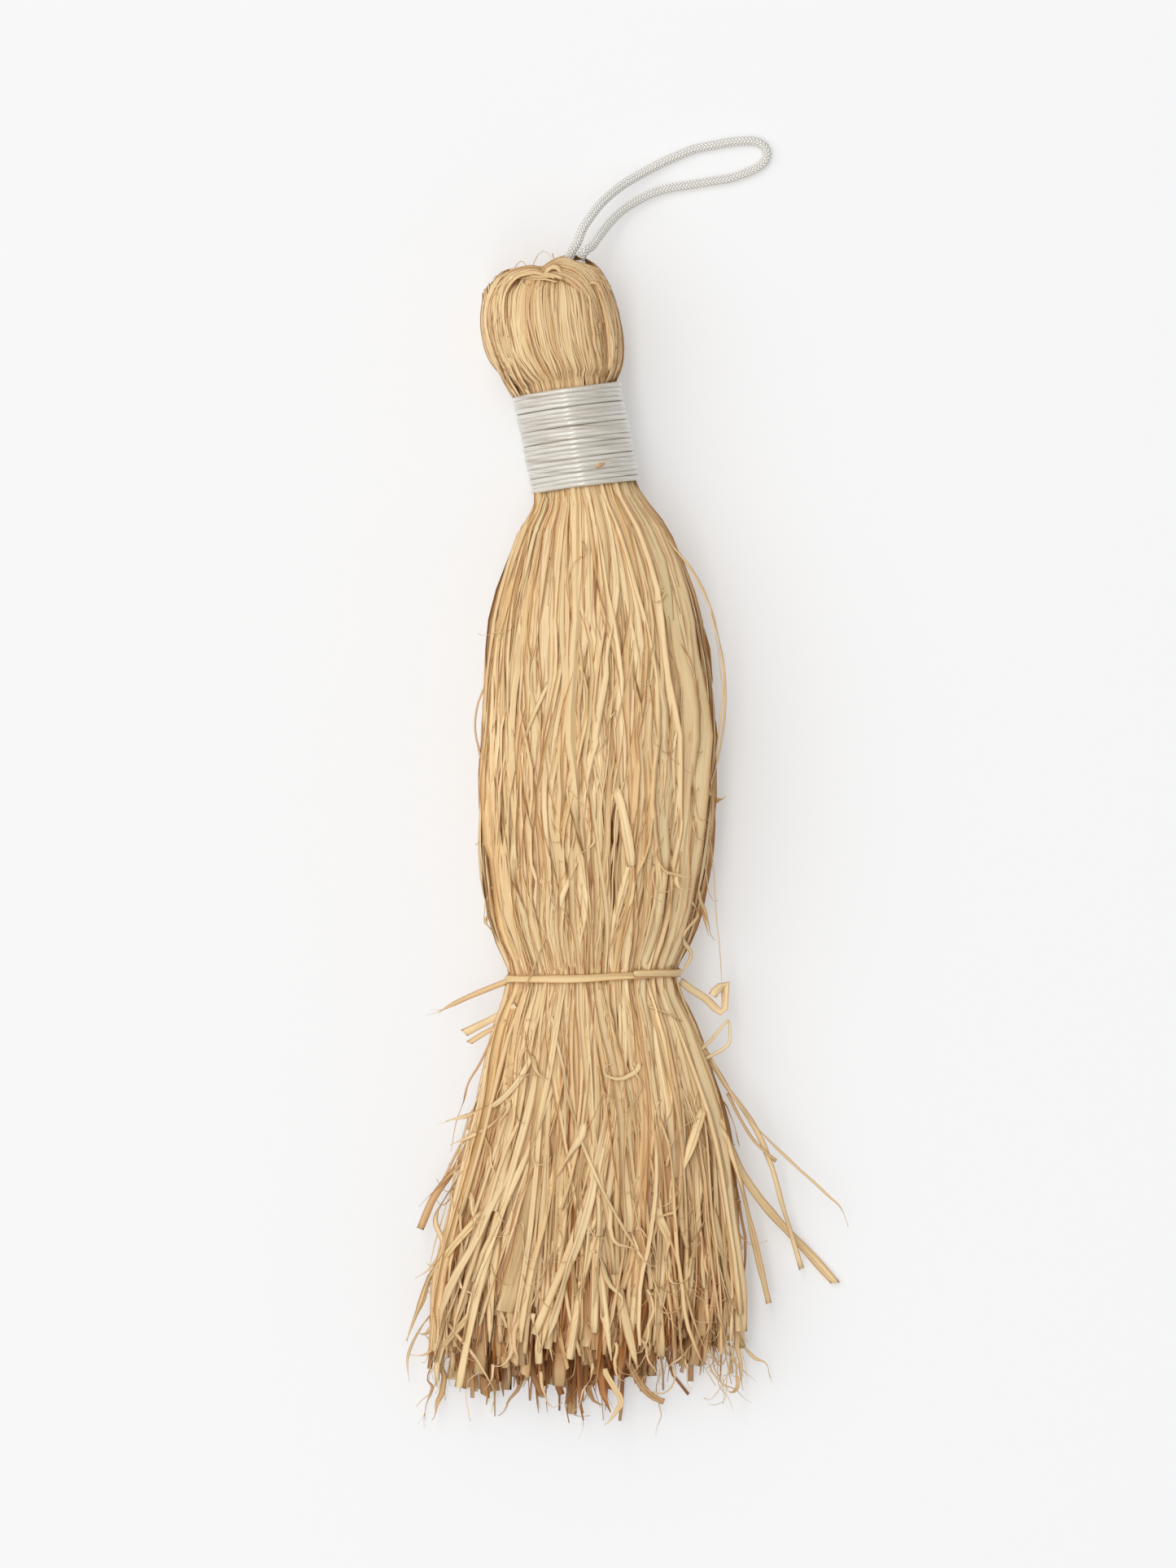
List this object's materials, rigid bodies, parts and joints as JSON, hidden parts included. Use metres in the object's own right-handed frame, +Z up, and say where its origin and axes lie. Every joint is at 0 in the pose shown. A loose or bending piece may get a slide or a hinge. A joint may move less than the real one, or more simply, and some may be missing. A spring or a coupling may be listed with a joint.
{
  "type": "raffia tassel",
  "caption": "Hanging tassel of folded raffia strands with a cord-wound neck, a flat tie above its flared skirt, and a braided hanging loop.",
  "frame": {"origin": "on the table, at the flat underside of the belly, 60 mm up the hank from the waist tie", "axes": "+Y along the hank towards the head and the loop, +Z up from the table, +X to the right seen from above"},
  "size_m": [0.1306, 0.3948, 0.0462],
  "materials": {
    "raffia": "satin",
    "raffia_inner": "matte",
    "raffia_dark": "satin",
    "satin_cord": "satin",
    "braided_cord": "satin"
  },
  "bodies": {
    "tassel": {"raffia_lock_01": "raffia", "raffia_lock_02": "raffia", "raffia_lock_03": "raffia", "raffia_lock_04": "raffia", "raffia_lock_05": "raffia", "raffia_lock_06": "raffia", "raffia_lock_07": "raffia", "raffia_lock_08": "raffia", "raffia_lock_09": "raffia", "raffia_lock_10": "raffia", "raffia_lock_11": "raffia", "raffia_lock_12": "raffia", "core_strands": "raffia_inner", "crown_fold_front": "raffia", "crown_fold_back": "raffia", "neck_binding": "satin_cord", "caught_strand": "raffia_dark", "waist_tie": "raffia", "waist_tie_lap": "raffia", "tie_tail_left": "raffia", "tie_tail_right": "raffia", "crossing_strand": "raffia", "bowed_strand_left": "raffia", "bowed_strand_right": "raffia", "skirt_strand_short": "raffia", "skirt_strand_long": "raffia", "skirt_strand_wide": "raffia"},
    "knot": {"loop_knot": "braided_cord"},
    "loop": {"hang_loop": "braided_cord"}
  },
  "joints": [
    {"name": "loop_swing", "type": "hinge", "parent": "tassel", "child": "knot", "pos_m": [-0.00469, 0.1591, 0.0215], "axis": [0, 0, 1], "range_deg": [-50, 60]},
    {"name": "loop_lift", "type": "hinge", "parent": "knot", "child": "loop", "pos_m": [-0.00469, 0.1591, 0.0215], "axis": [0.4695, -0.8829, 0], "range_deg": [0, 90]}
  ]
}
